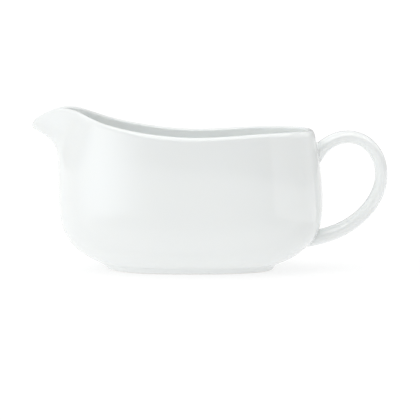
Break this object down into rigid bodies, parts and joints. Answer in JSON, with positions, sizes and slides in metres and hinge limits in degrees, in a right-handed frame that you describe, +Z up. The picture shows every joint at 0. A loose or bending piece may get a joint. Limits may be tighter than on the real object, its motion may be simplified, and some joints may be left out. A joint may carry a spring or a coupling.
{
  "type": "gravy boat",
  "caption": "Oval white porcelain gravy boat with a high curved pouring spout, an oval foot ring and a loop handle.",
  "frame": {"origin": "on the table under the middle of the bounding box", "axes": "+X towards the handle, -X towards the spout, +Y across the bowl, +Z up"},
  "size_m": [0.21, 0.0896, 0.0956],
  "materials": {
    "glazed_body": "high-gloss clear glaze over cool white porcelain",
    "glazed_handle": "high-gloss clear glaze over cool white porcelain",
    "glazed_slip": "slip fillet under the same clear glaze",
    "foot": "glazed sides, dry unglazed sole ground smooth"
  },
  "bodies": {
    "root": {"bowl": "glazed_body", "foot_ring": "foot", "handle": "glazed_handle", "upper_handle_joint": "glazed_slip", "lower_handle_joint": "glazed_slip"}
  },
  "joints": []
}
